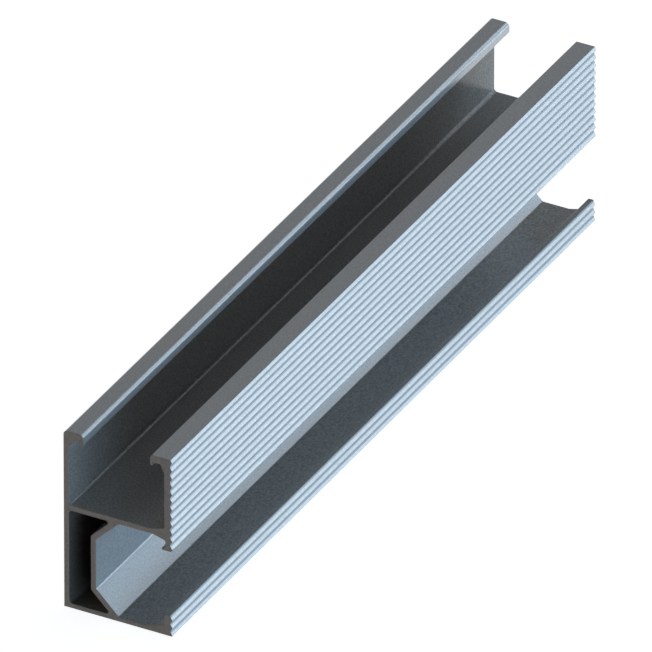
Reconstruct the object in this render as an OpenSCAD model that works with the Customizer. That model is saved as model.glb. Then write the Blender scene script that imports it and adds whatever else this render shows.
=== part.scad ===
// Solar mounting rail: one extruded aluminium profile with a top T-slot, a side T-slot,
// a closed chamber along the back and a serrated front face.
// The section is drawn with x from the back face and y up from the base, and runs along Y.

/* [Rail] */
// Length of the piece
rail_length = 265; // [60:5:3000]
// Width from the back face to the serration tips
rail_width = 36; // [32:0.5:60]
// Height from the base to the top of the lips
rail_height = 60.5; // [54:0.5:100]

/* [Walls] */
// Thickness of the back wall
back_wall = 1.65; // [1.2:0.05:3]
// Thickness of the base
base_wall = 1.5; // [1.2:0.1:3]
// Thickness of the shelf that carries the top slot
shelf_wall = 1.8; // [1.2:0.1:3]
// Height of the underside of the shelf above the base
shelf_height = 33.5; // [32:0.5:40]
// Thickness of the front wall beside the top slot, out to the serration tips
front_wall = 2.6; // [1.8:0.1:4]
// Thickness of the front wall below the shelf, out to the serration tips
neck_wall = 2.25; // [1.6:0.05:4]
// Thickness of the lower lip, out to the serration tips
lower_lip_wall = 2.8; // [1.8:0.1:4]

/* [Top slot] */
// Opening between the two top lips
top_slot = 22; // [12:0.5:24]
// How far the middle of the opening lies behind the middle of the rail
top_slot_shift = 0.25; // [0:0.05:1.5]
// Thickness of the top lips
lip_wall = 2.4; // [1.6:0.1:4]
// Depth of the noses of the lips, from the top of the rail
nose_drop = 3.5; // [2.8:0.1:6]
// Thickness of the noses
nose_wall = 1; // [0.8:0.1:2]
// Radius of the upper edge of the back nose
back_nose_radius = 1.5; // [0.3:0.1:2]
// Radius of the upper edge of the front nose
front_nose_radius = 1; // [0.3:0.1:2]
// Height of the slopes between the walls and the undersides of the lips
lip_slope_height = 2.9; // [0.5:0.1:6]
// Reach of the slope under the back lip
back_lip_slope = 2.75; // [0.5:0.05:3.5]
// Reach of the slope under the front lip
front_lip_slope = 1.2; // [0.5:0.05:3]

/* [Side slot] */
// Height of the top of the lower lip above the base
lower_lip_height = 7; // [5:0.1:9]
// Opening between the lower lip and the foot of the front wall
side_slot = 22; // [12:0.5:22.5]
// Reach of the foot into the slot, from the neck above it
foot_reach = 1.2; // [0.6:0.1:3]
// Thickness of the foot
foot_wall = 0.9; // [0.6:0.1:2]

/* [Web] */
// Distance from the back face to the chamber side of the web
web_distance = 8.95; // [6:0.05:12]
// Thickness of the upright web
web_wall = 1.7; // [1.2:0.1:3]
// Thickness of the two braces that join the web to the shelf and the base
brace_wall = 1.8; // [1.2:0.1:3]
// Angle of the braces to the base
brace_angle = 45; // [35:1:55]
// Distance from the back face to the far end of the braces
brace_end = 18.2; // [15.5:0.1:22]

/* [Serrations] */
// Spacing of the grooves in the front face
groove_pitch = 2.7; // [1.5:0.1:5]
// Depth of the grooves
groove_depth = 0.7; // [0.3:0.05:1]
// Height of the root of the lowest groove above the base
first_groove = 1.45; // [1.4:0.05:3]
// Width of the flat tip between two grooves
groove_tip = 0.15; // [0.05:0.05:0.5]

/* [Edges] */
// Radius of the back upper edge of the rail
back_edge_radius = 1.35; // [0.3:0.05:1.6]
// Radius of the inner upper edge of the lower lip
lower_lip_radius = 0.9; // [0.3:0.1:1.2]
// Radius of the edge of the foot
foot_radius = 0.35; // [0.1:0.05:0.5]
// Radius of the fillets along the back wall
back_fillet = 1.2; // [0.4:0.1:2]
// Radius of the fillets where the braces meet the web, the shelf and the base
brace_fillet = 1; // [0.4:0.1:2]
// Radius of the tips of the chamber inside the braces
chamber_tip = 0.7; // [0.3:0.1:1]
// Radius of the small fillets under the front lip and in the front corners of the slots
front_fillet = 0.8; // [0.3:0.1:1.2]
// Angle at which the shelf and the base thicken towards the front wall
ramp_angle = 15; // [5:1:20]
// Reach of the thickening on the base
base_ramp = 6; // [2:0.1:8]
// Reach of the thickening on top of the shelf
shelf_top_ramp = 4.6; // [2:0.1:8]
// Reach of the thickening under the shelf
shelf_under_ramp = 4.2; // [2:0.1:8]

/* [Hidden] */
$fn = 48;

shelf_top = shelf_height + shelf_wall;
front_face = rail_width - front_wall;
neck_face = rail_width - neck_wall;
lower_lip_face = rail_width - lower_lip_wall;
foot_height = lower_lip_height + side_slot;

slot_middle = rail_width / 2 - top_slot_shift;
back_lip_reach = slot_middle - top_slot / 2;
front_lip_reach = rail_width - slot_middle - top_slot / 2;

web_face = web_distance + web_wall;
brace_rise = (brace_end - web_face) * tan(brace_angle);
chamber_end = brace_end - brace_wall / sin(brace_angle);
chamber_rise = (chamber_end - web_distance) * tan(brace_angle);

groove_half = (groove_pitch - groove_tip) / 2;
groove_last = floor((rail_height - first_groove) / groove_pitch) + 1;

// Overlap of a fillet with the walls beside it
lap = 0.1;

aluminium = [0.62, 0.64, 0.66];

function along(angle) = [cos(angle), sin(angle)];

// The sliver between a corner at p and the arc that is tangent to its two edges, which
// leave p in the directions from and to. It fills an inside corner or rounds an outside
// one, and laps behind the corner.
module corner(p, from, to, radius) {
    half = (to - from) / 2;
    middle = along((from + to) / 2);
    reach = radius / tan(half);
    centre = p + radius / sin(half) * middle;
    difference() {
        polygon([p - lap * middle, p + reach * along(from), centre, p + reach * along(to)]);
        translate(centre) circle(radius);
    }
}

module slab(from, to) {
    translate(from) square(to - from);
}

// The thickening of a floor towards the wall that stands on it at p, on the side of
// smaller x, with a fillet between the two.
module ramp(p, reach) {
    rise = reach * tan(ramp_angle);
    top = p + [0, rise];
    polygon([p + [lap, -lap], top + [lap, 0], top, p - [reach, 0]]);
    corner(top, 90, 180 + ramp_angle, front_fillet);
}

module back_wall_shape() {
    difference() {
        slab([0, 0], [back_wall, rail_height]);
        corner([0, rail_height], 270, 360, back_edge_radius);
    }
}

module base_shape() {
    slab([0, 0], [rail_width, base_wall]);
    ramp([lower_lip_face, base_wall], base_ramp);
}

module lower_lip_shape() {
    difference() {
        slab([lower_lip_face, 0], [rail_width, lower_lip_height]);
        corner([lower_lip_face, lower_lip_height], 270, 360, lower_lip_radius);
    }
}

module shelf_shape() {
    slab([0, shelf_height], [rail_width, shelf_top]);
    ramp([front_face, shelf_top], shelf_top_ramp);
    translate([0, shelf_height]) mirror([0, 1]) ramp([neck_face, 0], shelf_under_ramp);
    corner([back_wall, shelf_top], 0, 90, back_fillet);
}

// The front wall, from its foot over the side slot up to the front lip
module front_wall_shape() {
    slab([front_face, shelf_height], [rail_width, rail_height]);
    slab([neck_face, foot_height], [rail_width, shelf_height]);
    foot_end = neck_face - foot_reach;
    foot_top = foot_height + foot_wall;
    difference() {
        slab([foot_end, foot_height], [rail_width, foot_top]);
        corner([foot_end, foot_height], 0, 90, foot_radius);
        corner([foot_end, foot_top], 270, 360, foot_radius);
    }
    corner([neck_face, foot_top], 90, 180, front_fillet);
}

// A top lip, with its origin at the outer upper corner of the wall that carries it and
// its nose in the direction of larger x
module lip_shape(wall, reach, nose_radius, slope) {
    nose_face = reach - nose_wall;
    slope_foot = -lip_wall - lip_slope_height;
    difference() {
        union() {
            slab([0, -lip_wall], [reach, 0]);
            slab([nose_face, nose_wall / 2 - nose_drop], [reach, 0]);
            translate([reach - nose_wall / 2, nose_wall / 2 - nose_drop]) circle(nose_wall / 2);
            corner([nose_face, -lip_wall], 180, 270, front_fillet);
            polygon([[0, -lip_wall], [0, slope_foot], [wall, slope_foot], [wall + slope, -lip_wall]]);
        }
        corner([reach, 0], 180, 270, nose_radius);
    }
}

module back_lip_shape() {
    difference() {
        translate([0, rail_height]) lip_shape(back_wall, back_lip_reach, back_nose_radius, back_lip_slope);
        corner([0, rail_height], 270, 360, back_edge_radius);
    }
}

module front_lip_shape() {
    translate([rail_width, rail_height]) mirror([1, 0])
        lip_shape(front_wall, front_lip_reach, front_nose_radius, front_lip_slope);
}

// The web between the chamber and the side slot, with its two braces
module web_shape() {
    polygon([
        [brace_end, base_wall],
        [web_face, base_wall + brace_rise],
        [web_face, shelf_height - brace_rise],
        [brace_end, shelf_height],
        [chamber_end, shelf_height],
        [web_distance, shelf_height - chamber_rise],
        [web_distance, base_wall + chamber_rise],
        [chamber_end, base_wall]
    ]);
    corner([web_face, base_wall + brace_rise], -brace_angle, 90, brace_fillet);
    corner([web_face, shelf_height - brace_rise], -90, brace_angle, brace_fillet);
    corner([brace_end, base_wall], 0, 180 - brace_angle, brace_fillet);
    corner([brace_end, shelf_height], 180 + brace_angle, 360, brace_fillet);
}

// The rounded corners of the chamber
module chamber_fillets() {
    corner([back_wall, base_wall], 0, 90, back_fillet);
    corner([back_wall, shelf_height], 270, 360, back_fillet);
    corner([chamber_end, base_wall], 180 - brace_angle, 180, chamber_tip);
    corner([chamber_end, shelf_height], 180, 180 + brace_angle, chamber_tip);
}

// Grooves all the way up the front face, cut from well outside it
module grooves() {
    for (i = [0 : groove_last])
        translate([rail_width - groove_depth, first_groove + i * groove_pitch])
            polygon([[0, 0], [2 * groove_depth, -2 * groove_half], [2 * groove_depth, 2 * groove_half]]);
}

module section() {
    difference() {
        union() {
            back_wall_shape();
            base_shape();
            lower_lip_shape();
            shelf_shape();
            front_wall_shape();
            back_lip_shape();
            front_lip_shape();
            web_shape();
            chamber_fillets();
        }
        grooves();
    }
}

module rail() {
    color(aluminium)
        translate([-rail_width / 2, rail_length / 2, 0])
            rotate([90, 0, 0])
                linear_extrude(rail_length) section();
}

rail();
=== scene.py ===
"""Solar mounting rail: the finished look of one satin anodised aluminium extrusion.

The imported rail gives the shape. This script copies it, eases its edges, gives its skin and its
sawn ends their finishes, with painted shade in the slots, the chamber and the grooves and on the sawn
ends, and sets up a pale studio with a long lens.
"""

import math

import bmesh
import bpy
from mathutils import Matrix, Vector


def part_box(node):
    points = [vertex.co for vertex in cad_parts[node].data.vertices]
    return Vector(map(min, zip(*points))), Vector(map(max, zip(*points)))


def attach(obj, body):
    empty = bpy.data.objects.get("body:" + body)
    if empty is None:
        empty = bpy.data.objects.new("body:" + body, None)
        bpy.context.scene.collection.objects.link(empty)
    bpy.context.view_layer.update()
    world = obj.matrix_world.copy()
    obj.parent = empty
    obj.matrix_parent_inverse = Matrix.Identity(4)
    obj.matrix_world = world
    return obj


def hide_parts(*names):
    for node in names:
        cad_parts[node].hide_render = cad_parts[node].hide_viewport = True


MM = 0.001

# Clean faces and eased edges
MERGE_DISTANCE = 0.002 * MM
FLAT_ANGLE = math.radians(1)
SHARP_ANGLE = math.radians(50)
SMOOTH_ANGLE = math.radians(20)
LONG_EDGE_RADIUS = 0.12 * MM
LONG_EDGE_STEPS = 2
SAWN_EDGE = 0.1 * MM
SAWN_EDGE_STEPS = 1

# Least share of a direction that lies along the rail: for long edges and cut ends, and for their bevels
ALONG_RAIL = 0.99
PARTLY_ALONG_RAIL = 0.5

# Places of the faces inside the rail, in millimetres across from its middle and up from its base
TOP_SLOT_SIDE = 16.9
TOP_SLOT_HEIGHTS = 35, 55
LOWER_LIP_INSIDE = 14.5
LOWER_LIP_HEIGHTS = 6, 7.2
BRACE_FOOT = 0.1
SIDE_SLOT_FLOOR = 1.4, 3.4
SIDE_SLOT_CEILING = 31.5, 33.6
CHAMBER_SIDES = -17, -9
CHAMBER_HEIGHTS = 1.4, 33.6

# How far a face looks up, from -1 for straight down to 1 for straight up
GROOVE_FACES_ABOVE = -0.2
LIP_FACES_ABOVE = 0.3
FLOOR_FACES_ABOVE = 0.5
CEILING_FACES_BELOW = -0.5

# Grooves of the front face: where they start, where their painted shade ends on the way out, and the
# colour of that painted shade
GROOVE_ROOT = 17.3 * MM
GROOVE_PAINTED_SHADE_START = 17.44 * MM
GROOVE_PAINTED_SHADE_END = 17.62 * MM
GROOVE_PAINTED_SHADE = (0.31, 0.33, 0.355, 1)

# Finishes: the darker and the paler colour of the grain, and the metallic and specular levels
OPEN_SKIN = (0.525, 0.536, 0.547, 1), (0.690, 0.704, 0.718, 1)
# Painted shade: the skin inside the slots is coloured darker, and made less metallic, where shade falls
SLOT_PAINTED_SHADE = (0.307, 0.298, 0.288, 1), (0.571, 0.554, 0.535, 1)
# Painted shade: the skin inside the chamber is coloured darker still
CHAMBER_PAINTED_SHADE = (0.172, 0.146, 0.124, 1), (0.258, 0.219, 0.186, 1)
# Painted shade: the sawn ends are coloured dark and warm for the shade on them; their grain is real
SAWN_PAINTED_SHADE = (0.315, 0.256, 0.216, 1), (0.412, 0.342, 0.294, 1)
OPEN_SHINE = 0.42, 0.5
INSIDE_SHINE = 0.1, 0.1
SAWN_METALLIC = 0.2
SKIN_ROUGHNESS = 0.20, 0.27
SAWN_ROUGHNESS = 0.55, 0.75

# Grain and marks: how many per metre along each axis, how deep they are, and how finely broken up
SKIN_GRAIN = 1700, 1700, 1700
DIE_LINES = 1500, 6, 1500
SAWN_GRAIN = 1800, 1800, 1800
BLADE_MARKS = 300, 300, 5200
SKIN_GRAIN_DEPTH = 0.02 * MM
DIE_LINE_DEPTH = 0.0015 * MM
SAWN_DEPTH = 0.004 * MM
MARK_DETAIL = 2
SAWN_GRAIN_DETAIL = 3
NOISE_MIDDLE = 0.3, 0.7

# Camera: a long lens, close to a parallel view
VIEW_AZIMUTH = math.radians(28.24)
VIEW_ELEVATION = math.radians(31.62)
SENSOR_WIDTH = 36
LENS = 1650
FRAME_WIDTH = 192.4 * MM
AIM_RIGHT = -1.96 * MM
AIM_UP = -0.64 * MM

# Studio
FLOOR_SIZE = 12
FLOOR_GAP = 0.02 * MM
FLOOR_PAINT = (0.8, 0.8, 0.8, 1)
FLOOR_WHITE = (1, 1, 1, 1)
FLOOR_LEVEL = 0.88
PALE_SIDE = (-0.75, 0.35, 0.1)
ROOM_SIDES = 0.05, 0.66
ROOM_LEVELS = 0.02, 0.38

# Lamps: azimuth and elevation, width and height as angles in degrees, level and tint
LAMP_DISTANCE = 2
LAMPS = {
    "low_lamp": (50, 6, 34, 12, 2.2, (0.72, 0.85, 0.95)),
    "slot_lamp": (55, 19.5, 34, 15, 1.30, (0.76, 0.89, 1.0)),
    "nose_lamp": (72, 36, 36, 12, 1.8, (0.82, 0.92, 1.0)),
    "side_lamp": (-7, 9, 92, 18, 3.7, (0.50, 0.76, 1.0)),
}


def deselect_all():
    """Leaves object mode with nothing selected."""
    if bpy.context.mode != "OBJECT":
        bpy.ops.object.mode_set(mode="OBJECT")
    bpy.ops.object.select_all(action="DESELECT")


def make_active(piece):
    """Selects one object alone."""
    deselect_all()
    piece.select_set(True)
    bpy.context.view_layer.objects.active = piece


def select_in_edit(piece, kind, test):
    """In edit mode, selects only the faces or edges that pass a test."""
    bpy.ops.mesh.select_mode(type=kind)
    bpy.ops.mesh.select_all(action="DESELECT")
    mesh = bmesh.from_edit_mesh(piece.data)
    parts = mesh.faces if kind == "FACE" else mesh.edges
    for part in parts:
        part.select = test(part)
    mesh.select_flush_mode()
    bmesh.update_edit_mesh(piece.data)


def is_long_sharp_edge(edge):
    """A sharp edge that runs along the rail."""
    if len(edge.link_faces) != 2:
        return False
    run = edge.verts[1].co - edge.verts[0].co
    return abs(run.normalized().y) > ALONG_RAIL and edge.calc_face_angle() > SHARP_ANGLE


def is_sawn(face):
    """A face of one of the two cut ends."""
    return abs(face.normal.y) > ALONG_RAIL


def is_skin(face):
    """A face that runs along the rail."""
    return not is_sawn(face)


def is_sawn_edge(edge):
    """An edge between a cut end and the skin."""
    return len(edge.link_faces) == 2 and sum(is_sawn(face) for face in edge.link_faces) == 1


def copy_of_rail(frame):
    """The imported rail's mesh as a new piece, with its loose triangles merged into clean faces."""
    mesh = frame["nodes"]["rail"].data.copy()
    piece = bpy.data.objects.new("rail_extrusion", mesh)
    bpy.context.scene.collection.objects.link(piece)
    make_active(piece)
    bpy.ops.object.mode_set(mode="EDIT")
    bpy.ops.mesh.select_all(action="SELECT")
    bpy.ops.mesh.remove_doubles(threshold=MERGE_DISTANCE)
    bpy.ops.mesh.customdata_custom_splitnormals_clear()
    select_in_edit(piece, "FACE", is_skin)
    bpy.ops.mesh.dissolve_limited(angle_limit=FLAT_ANGLE)
    bpy.ops.object.mode_set(mode="OBJECT")
    return piece


def ease_edges(piece, test, width, segments):
    """Bevels the edges that pass a test, and clears what falls together."""
    bpy.ops.object.mode_set(mode="EDIT")
    select_in_edit(piece, "EDGE", test)
    bpy.ops.mesh.bevel(offset=width, segments=segments, clamp_overlap=False, loop_slide=False)
    bpy.ops.mesh.select_all(action="SELECT")
    bpy.ops.mesh.remove_doubles(threshold=MERGE_DISTANCE)
    bpy.ops.mesh.dissolve_degenerate(threshold=MERGE_DISTANCE)
    bpy.ops.object.mode_set(mode="OBJECT")


def smooth_rail(piece):
    """Smooth arcs beside faces that stay flat."""
    make_active(piece)
    bpy.ops.object.shade_smooth_by_angle(angle=SMOOTH_ANGLE)
    weights = piece.modifiers.new("flat_faces", "WEIGHTED_NORMAL")
    weights.keep_sharp = True
    bpy.ops.object.modifier_apply(modifier=weights.name)


def new_material(name):
    """A material with its node tree emptied, and the input of its new output."""
    material = bpy.data.materials.new(name)
    material.use_nodes = True
    nodes = material.node_tree.nodes
    nodes.clear()
    output = nodes.new("ShaderNodeOutputMaterial")
    return material, output.inputs["Surface"]


def new_finish(name):
    """A material of one plain shader."""
    material, surface = new_material(name)
    shader = material.node_tree.nodes.new("ShaderNodeBsdfPrincipled")
    material.node_tree.links.new(shader.outputs["BSDF"], surface)
    return material, shader


def place_on(material, scale):
    """The piece's own coordinates, stretched by a scale per axis."""
    nodes = material.node_tree.nodes
    coordinates = nodes.new("ShaderNodeTexCoord")
    mapping = nodes.new("ShaderNodeMapping")
    mapping.inputs["Scale"].default_value = scale
    material.node_tree.links.new(coordinates.outputs["Object"], mapping.inputs["Vector"])
    return mapping.outputs["Vector"]


def noise(material, scale, detail):
    """Grain with a number of grains per metre along each axis."""
    texture = material.node_tree.nodes.new("ShaderNodeTexNoise")
    texture.inputs["Scale"].default_value = 1
    texture.inputs["Detail"].default_value = detail
    material.node_tree.links.new(place_on(material, scale), texture.inputs["Vector"])
    return texture.outputs["Fac"]


def spread(material, value, low, high):
    """Maps the middle of a noise to a range."""
    node = material.node_tree.nodes.new("ShaderNodeMapRange")
    node.inputs["From Min"].default_value = NOISE_MIDDLE[0]
    node.inputs["From Max"].default_value = NOISE_MIDDLE[1]
    node.inputs["To Min"].default_value = low
    node.inputs["To Max"].default_value = high
    material.node_tree.links.new(value, node.inputs["Value"])
    return node.outputs["Result"]


def blend(material, value, low, high):
    """A colour that goes from low to high with a noise."""
    node = material.node_tree.nodes.new("ShaderNodeMix")
    node.data_type = "RGBA"
    node.inputs["A"].default_value = low
    node.inputs["B"].default_value = high
    links = material.node_tree.links
    links.new(spread(material, value, 0, 1), node.inputs["Factor"])
    return node.outputs["Result"]


def bump(material, shader, height, distance, below=None):
    """Adds a relief of a real depth to the shader's normal, over the relief below it."""
    node = material.node_tree.nodes.new("ShaderNodeBump")
    node.inputs["Strength"].default_value = 1
    node.inputs["Distance"].default_value = distance
    links = material.node_tree.links
    links.new(height, node.inputs["Height"])
    if below is not None:
        links.new(below, node.inputs["Normal"])
    links.new(node.outputs["Normal"], shader.inputs["Normal"])
    return node.outputs["Normal"]


def anodised(name, skin, shine):
    """Satin natural anodising: fine grain over faint die lines along the rail."""
    material, shader = new_finish(name)
    links = material.node_tree.links
    grain = noise(material, SKIN_GRAIN, MARK_DETAIL)
    die_lines = noise(material, DIE_LINES, MARK_DETAIL)
    metallic, specular = shine
    shader.inputs["Metallic"].default_value = metallic
    shader.inputs["Specular IOR Level"].default_value = specular
    skin_colour = blend(material, grain, *skin)
    links.new(skin_colour, shader.inputs["Base Color"])
    links.new(spread(material, grain, *SKIN_ROUGHNESS), shader.inputs["Roughness"])
    normal = bump(material, shader, die_lines, DIE_LINE_DEPTH)
    bump(material, shader, grain, SKIN_GRAIN_DEPTH, normal)
    return material, shader, skin_colour


def serrated_skin():
    """The open skin, with painted shade darkening it down in the grooves of the front face."""
    material, shader, skin_colour = anodised("serrated_skin", OPEN_SKIN, OPEN_SHINE)
    nodes = material.node_tree.nodes
    links = material.node_tree.links
    coordinates = nodes.new("ShaderNodeTexCoord")
    parts = nodes.new("ShaderNodeSeparateXYZ")
    links.new(coordinates.outputs["Object"], parts.inputs["Vector"])
    way_out = nodes.new("ShaderNodeMapRange")
    way_out.inputs["From Min"].default_value = GROOVE_PAINTED_SHADE_START
    way_out.inputs["From Max"].default_value = GROOVE_PAINTED_SHADE_END
    links.new(parts.outputs["X"], way_out.inputs["Value"])
    # Painted shade: the skin's colour turns darker towards the groove roots
    shade = nodes.new("ShaderNodeMix")
    shade.data_type = "RGBA"
    shade.inputs["A"].default_value = GROOVE_PAINTED_SHADE
    links.new(way_out.outputs["Result"], shade.inputs["Factor"])
    links.new(skin_colour, shade.inputs["B"])
    links.new(shade.outputs["Result"], shader.inputs["Base Color"])


def sawn_aluminium_painted_shade():
    """A sawn end with fine marks of the blade, coloured dark and warm as painted shade."""
    material, shader = new_finish("sawn_aluminium_painted_shade")
    links = material.node_tree.links
    marks = noise(material, BLADE_MARKS, MARK_DETAIL)
    grain = noise(material, SAWN_GRAIN, SAWN_GRAIN_DETAIL)
    shader.inputs["Metallic"].default_value = SAWN_METALLIC
    links.new(blend(material, grain, *SAWN_PAINTED_SHADE), shader.inputs["Base Color"])
    links.new(spread(material, marks, *SAWN_ROUGHNESS), shader.inputs["Roughness"])
    normal = bump(material, shader, marks, SAWN_DEPTH)
    bump(material, shader, grain, SAWN_DEPTH, normal)


def is_between(value, ends):
    """Inside a range that is given by its two ends."""
    low, high = ends
    return low < value < high


def is_in_slot(across, up, facing_up):
    """A face in the top slot, on the lower lip, or on the floor or the ceiling of the side slot, where
    the skin gets painted shade.
    """
    if abs(across) < TOP_SLOT_SIDE and is_between(up, TOP_SLOT_HEIGHTS):
        return True
    if across > LOWER_LIP_INSIDE and is_between(up, LOWER_LIP_HEIGHTS) and facing_up > LIP_FACES_ABOVE:
        return True
    on_floor = is_between(up, SIDE_SLOT_FLOOR) and facing_up > FLOOR_FACES_ABOVE
    on_ceiling = is_between(up, SIDE_SLOT_CEILING) and facing_up < CEILING_FACES_BELOW
    return across > BRACE_FOOT and (on_floor or on_ceiling)


def finish_of(face):
    """The name of the finish that a face gets."""
    across = face.center.x / MM
    up = face.center.z / MM
    # The cut ends get painted shade over their real blade marks
    if abs(face.normal.y) > PARTLY_ALONG_RAIL:
        return "sawn_aluminium_painted_shade"
    # The groove roots and the upward groove faces get painted shade
    if face.center.x > GROOVE_ROOT and face.normal.z > GROOVE_FACES_ABOVE:
        return "serrated_skin"
    # Faces inside the chamber get painted shade, a darker copy of the skin
    if is_between(across, CHAMBER_SIDES) and is_between(up, CHAMBER_HEIGHTS):
        return "chamber_painted_shade"
    # Faces in the slots get painted shade, a darker copy of the skin
    if is_in_slot(across, up, face.normal.z):
        return "slot_painted_shade"
    return "open_skin"


def dress_rail(piece):
    """Anodised skin with painted shade in the grooves, sawn aluminium coloured dark as painted shade on
    both cut ends, and darker, less metallic skin as painted shade in the slots and the chamber.
    """
    anodised("open_skin", OPEN_SKIN, OPEN_SHINE)
    anodised("slot_painted_shade", SLOT_PAINTED_SHADE, INSIDE_SHINE)
    anodised("chamber_painted_shade", CHAMBER_PAINTED_SHADE, INSIDE_SHINE)
    serrated_skin()
    sawn_aluminium_painted_shade()
    finishes = ["open_skin", "serrated_skin", "slot_painted_shade", "chamber_painted_shade", "sawn_aluminium_painted_shade"]
    piece.data.materials.clear()
    for name in finishes:
        piece.data.materials.append(bpy.data.materials[name])
    for face in piece.data.polygons:
        face.material_index = finishes.index(finish_of(face))


def pale_floor():
    """A white floor that keeps the rail's shadow, and shows white in its reflections too."""
    material, surface = new_material("pale_floor")
    nodes = material.node_tree.nodes
    links = material.node_tree.links
    paint = nodes.new("ShaderNodeBsdfDiffuse")
    paint.inputs["Color"].default_value = FLOOR_PAINT
    path = nodes.new("ShaderNodeLightPath")
    seen = path.outputs["Is Camera Ray"]
    for ray in ("Is Glossy Ray", "Is Transmission Ray"):
        either = nodes.new("ShaderNodeMath")
        either.operation = "MAXIMUM"
        links.new(seen, either.inputs[0])
        links.new(path.outputs[ray], either.inputs[1])
        seen = either.outputs["Value"]
    level = nodes.new("ShaderNodeMath")
    level.operation = "MULTIPLY"
    level.inputs[1].default_value = FLOOR_LEVEL
    links.new(seen, level.inputs[0])
    glow = nodes.new("ShaderNodeEmission")
    glow.inputs["Color"].default_value = FLOOR_WHITE
    links.new(level.outputs["Value"], glow.inputs["Strength"])
    both = nodes.new("ShaderNodeAddShader")
    links.new(paint.outputs["BSDF"], both.inputs[0])
    links.new(glow.outputs["Emission"], both.inputs[1])
    links.new(both.outputs["Shader"], surface)
    return material


def add_floor():
    """The floor just under the rail."""
    deselect_all()
    bpy.ops.mesh.primitive_plane_add(size=FLOOR_SIZE, location=(0, 0, -FLOOR_GAP))
    floor = bpy.context.active_object
    floor.name = "studio_floor"
    floor.data.materials.append(pale_floor())


def add_room():
    """Soft light all round: paler on the pale side and darker on the other."""
    world = bpy.data.worlds.new("studio_room")
    bpy.context.scene.world = world
    world.use_nodes = True
    nodes = world.node_tree.nodes
    links = world.node_tree.links
    nodes.clear()
    output = nodes.new("ShaderNodeOutputWorld")
    background = nodes.new("ShaderNodeBackground")
    coordinates = nodes.new("ShaderNodeTexCoord")
    side = nodes.new("ShaderNodeVectorMath")
    side.operation = "DOT_PRODUCT"
    side.inputs[1].default_value = PALE_SIDE
    level = nodes.new("ShaderNodeMapRange")
    level.inputs["From Min"].default_value = ROOM_SIDES[0]
    level.inputs["From Max"].default_value = ROOM_SIDES[1]
    level.inputs["To Min"].default_value = ROOM_LEVELS[0]
    level.inputs["To Max"].default_value = ROOM_LEVELS[1]
    links.new(coordinates.outputs["Generated"], side.inputs[0])
    links.new(side.outputs["Value"], level.inputs["Value"])
    links.new(level.outputs["Result"], background.inputs["Strength"])
    links.new(background.outputs["Background"], output.inputs["Surface"])


def add_lamp(name, azimuth, elevation, width, height, level, tint):
    """A rectangular soft lamp. Its place round the rail and its spread are angles in degrees."""
    azimuth = math.radians(azimuth)
    elevation = math.radians(elevation)
    flat = math.cos(elevation)
    back = Vector((math.cos(azimuth) * flat, math.sin(azimuth) * flat, math.sin(elevation)))
    deselect_all()
    bpy.ops.object.light_add(type="AREA", location=LAMP_DISTANCE * back)
    lamp = bpy.context.active_object
    lamp.name = name
    lamp.rotation_euler = back.to_track_quat("Z", "Y").to_euler()
    lamp.visible_camera = False
    lamp.data.shape = "RECTANGLE"
    lamp.data.size = 2 * LAMP_DISTANCE * math.tan(math.radians(width / 2))
    lamp.data.size_y = 2 * LAMP_DISTANCE * math.tan(math.radians(height / 2))
    lamp.data.energy = level * math.pi * lamp.data.size * lamp.data.size_y
    lamp.data.color = tint


def add_camera(low, high):
    """The photograph's view: from the near end, over the serrated face."""
    sine = math.sin(VIEW_AZIMUTH)
    cosine = math.cos(VIEW_AZIMUTH)
    rise = math.sin(VIEW_ELEVATION)
    flat = math.cos(VIEW_ELEVATION)
    back = Vector((sine * flat, -cosine * flat, rise))
    right = Vector((cosine, sine, 0))
    up = Vector((-sine * rise, cosine * rise, flat))
    distance = FRAME_WIDTH * LENS / SENSOR_WIDTH
    aim = (low + high) / 2 + AIM_RIGHT * right + AIM_UP * up
    deselect_all()
    bpy.ops.object.camera_add(location=aim + distance * back)
    camera = bpy.context.active_object
    camera.name = "photo_camera"
    camera.rotation_euler = back.to_track_quat("Z", "Y").to_euler()
    camera.data.lens = LENS
    camera.data.sensor_width = SENSOR_WIDTH
    camera.data.clip_end = 4 * distance
    bpy.context.scene.camera = camera


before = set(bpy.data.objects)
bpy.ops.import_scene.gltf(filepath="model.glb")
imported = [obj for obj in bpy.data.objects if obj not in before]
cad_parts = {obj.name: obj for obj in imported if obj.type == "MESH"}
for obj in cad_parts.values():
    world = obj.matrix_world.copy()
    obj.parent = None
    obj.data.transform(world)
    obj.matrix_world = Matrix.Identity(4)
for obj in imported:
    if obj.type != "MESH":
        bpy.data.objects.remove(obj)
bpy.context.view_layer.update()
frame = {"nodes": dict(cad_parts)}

rail = copy_of_rail(frame)
ease_edges(rail, is_long_sharp_edge, LONG_EDGE_RADIUS, LONG_EDGE_STEPS)
ease_edges(rail, is_sawn_edge, SAWN_EDGE, SAWN_EDGE_STEPS)
smooth_rail(rail)
dress_rail(rail)
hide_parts("rail")
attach(rail, "root")

rail_low, rail_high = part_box("rail")
add_floor()
add_room()
for lamp_name, lamp_values in LAMPS.items():
    add_lamp(lamp_name, *lamp_values)
add_camera(rail_low, rail_high)
bpy.context.scene.view_settings.view_transform = "Standard"
